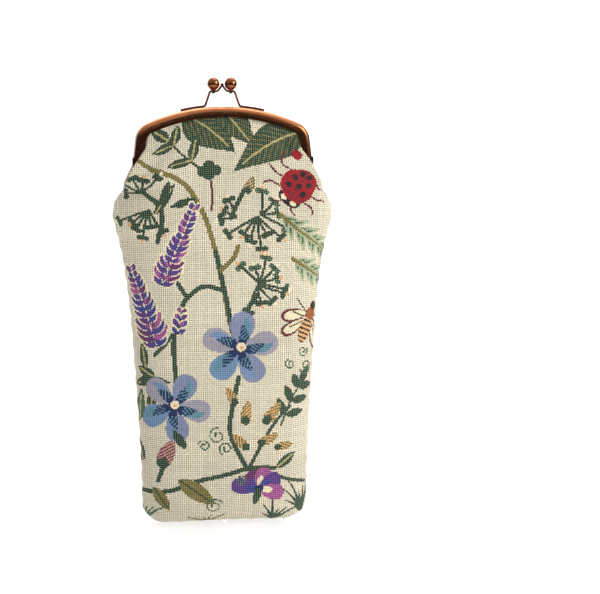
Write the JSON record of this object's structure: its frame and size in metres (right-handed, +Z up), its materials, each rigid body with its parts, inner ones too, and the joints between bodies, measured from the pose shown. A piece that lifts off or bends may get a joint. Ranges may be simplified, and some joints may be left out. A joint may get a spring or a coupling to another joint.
{
  "type": "soft pouch glasses case",
  "caption": "Soft padded fabric pouch for spectacles, closed by a hinged kiss-lock metal frame with two ball clasps at its mouth.",
  "frame": {"origin": "centre of the pouch's base, where the standing case rests", "axes": "+Z up through the mouth, X across the width through the two hinge rivets, the front panel faces -Y"},
  "size_m": [0.0924, 0.0238, 0.1869],
  "materials": {
    "frame_metal": "copper plated, polished",
    "clasp_strip": "copper plated, darker in the bends",
    "clasp_ball": "copper plated, polished",
    "rivet": "copper plated",
    "tapestry": "jacquard tapestry weave, cream ground with a botanical pattern",
    "wadding": "soft polyester wadding",
    "lining_cloth": "plain weave lining",
    "sewing_thread": "spun sewing thread",
    "paper_cord": "twisted kraft paper"
  },
  "bodies": {
    "pouch": {"front_outer_panel": "tapestry", "back_outer_panel": "tapestry", "front_padding": "wadding", "back_padding": "wadding", "front_lining": "lining_cloth", "back_lining": "lining_cloth", "bottom_seam_thread": "sewing_thread", "right_seam_thread": "sewing_thread", "left_seam_thread": "sewing_thread", "lining_seam_thread": "sewing_thread", "right_hinge_rivet": "rivet", "left_hinge_rivet": "rivet"},
    "front_half": {"front_frame": "frame_metal", "front_clasp_foot": "clasp_strip", "front_outer_panel_top": "tapestry", "front_padding_top": "wadding", "front_lining_top": "lining_cloth", "front_channel_cord": "paper_cord"},
    "back_half": {"back_frame": "frame_metal", "back_clasp_foot": "clasp_strip", "back_outer_panel_top": "tapestry", "back_padding_top": "wadding", "back_lining_top": "lining_cloth", "back_channel_cord": "paper_cord"},
    "front_clasp": {"front_clasp_arm": "clasp_strip", "front_clasp_ball": "clasp_ball", "front_ball_cup": "clasp_strip"},
    "back_clasp": {"back_clasp_arm": "clasp_strip", "back_clasp_ball": "clasp_ball", "back_ball_cup": "clasp_strip"}
  },
  "joints": [
    {"name": "front_open", "type": "hinge", "parent": "pouch", "child": "front_half", "pos_m": [0, 0, 0.148], "axis": [1, 0, 0], "range_deg": [0, 40]},
    {"name": "back_open", "type": "hinge", "parent": "pouch", "child": "back_half", "pos_m": [0, 0, 0.148], "axis": [-1, 0, 0], "range_deg": [0, 40]},
    {"name": "front_clasp_flex", "type": "hinge", "parent": "front_half", "child": "front_clasp", "pos_m": [0.0083, -0.00175, 0.17538], "axis": [0, 1, 0], "range_deg": [0, 4], "stiffness_Nm_per_rad": 0.03},
    {"name": "back_clasp_flex", "type": "hinge", "parent": "back_half", "child": "back_clasp", "pos_m": [-0.0083, 0.00175, 0.17538], "axis": [0, -1, 0], "range_deg": [0, 4], "stiffness_Nm_per_rad": 0.03}
  ],
  "couplings": [
    {"joint": "back_open", "follows": "front_open", "ratio": 1}
  ]
}
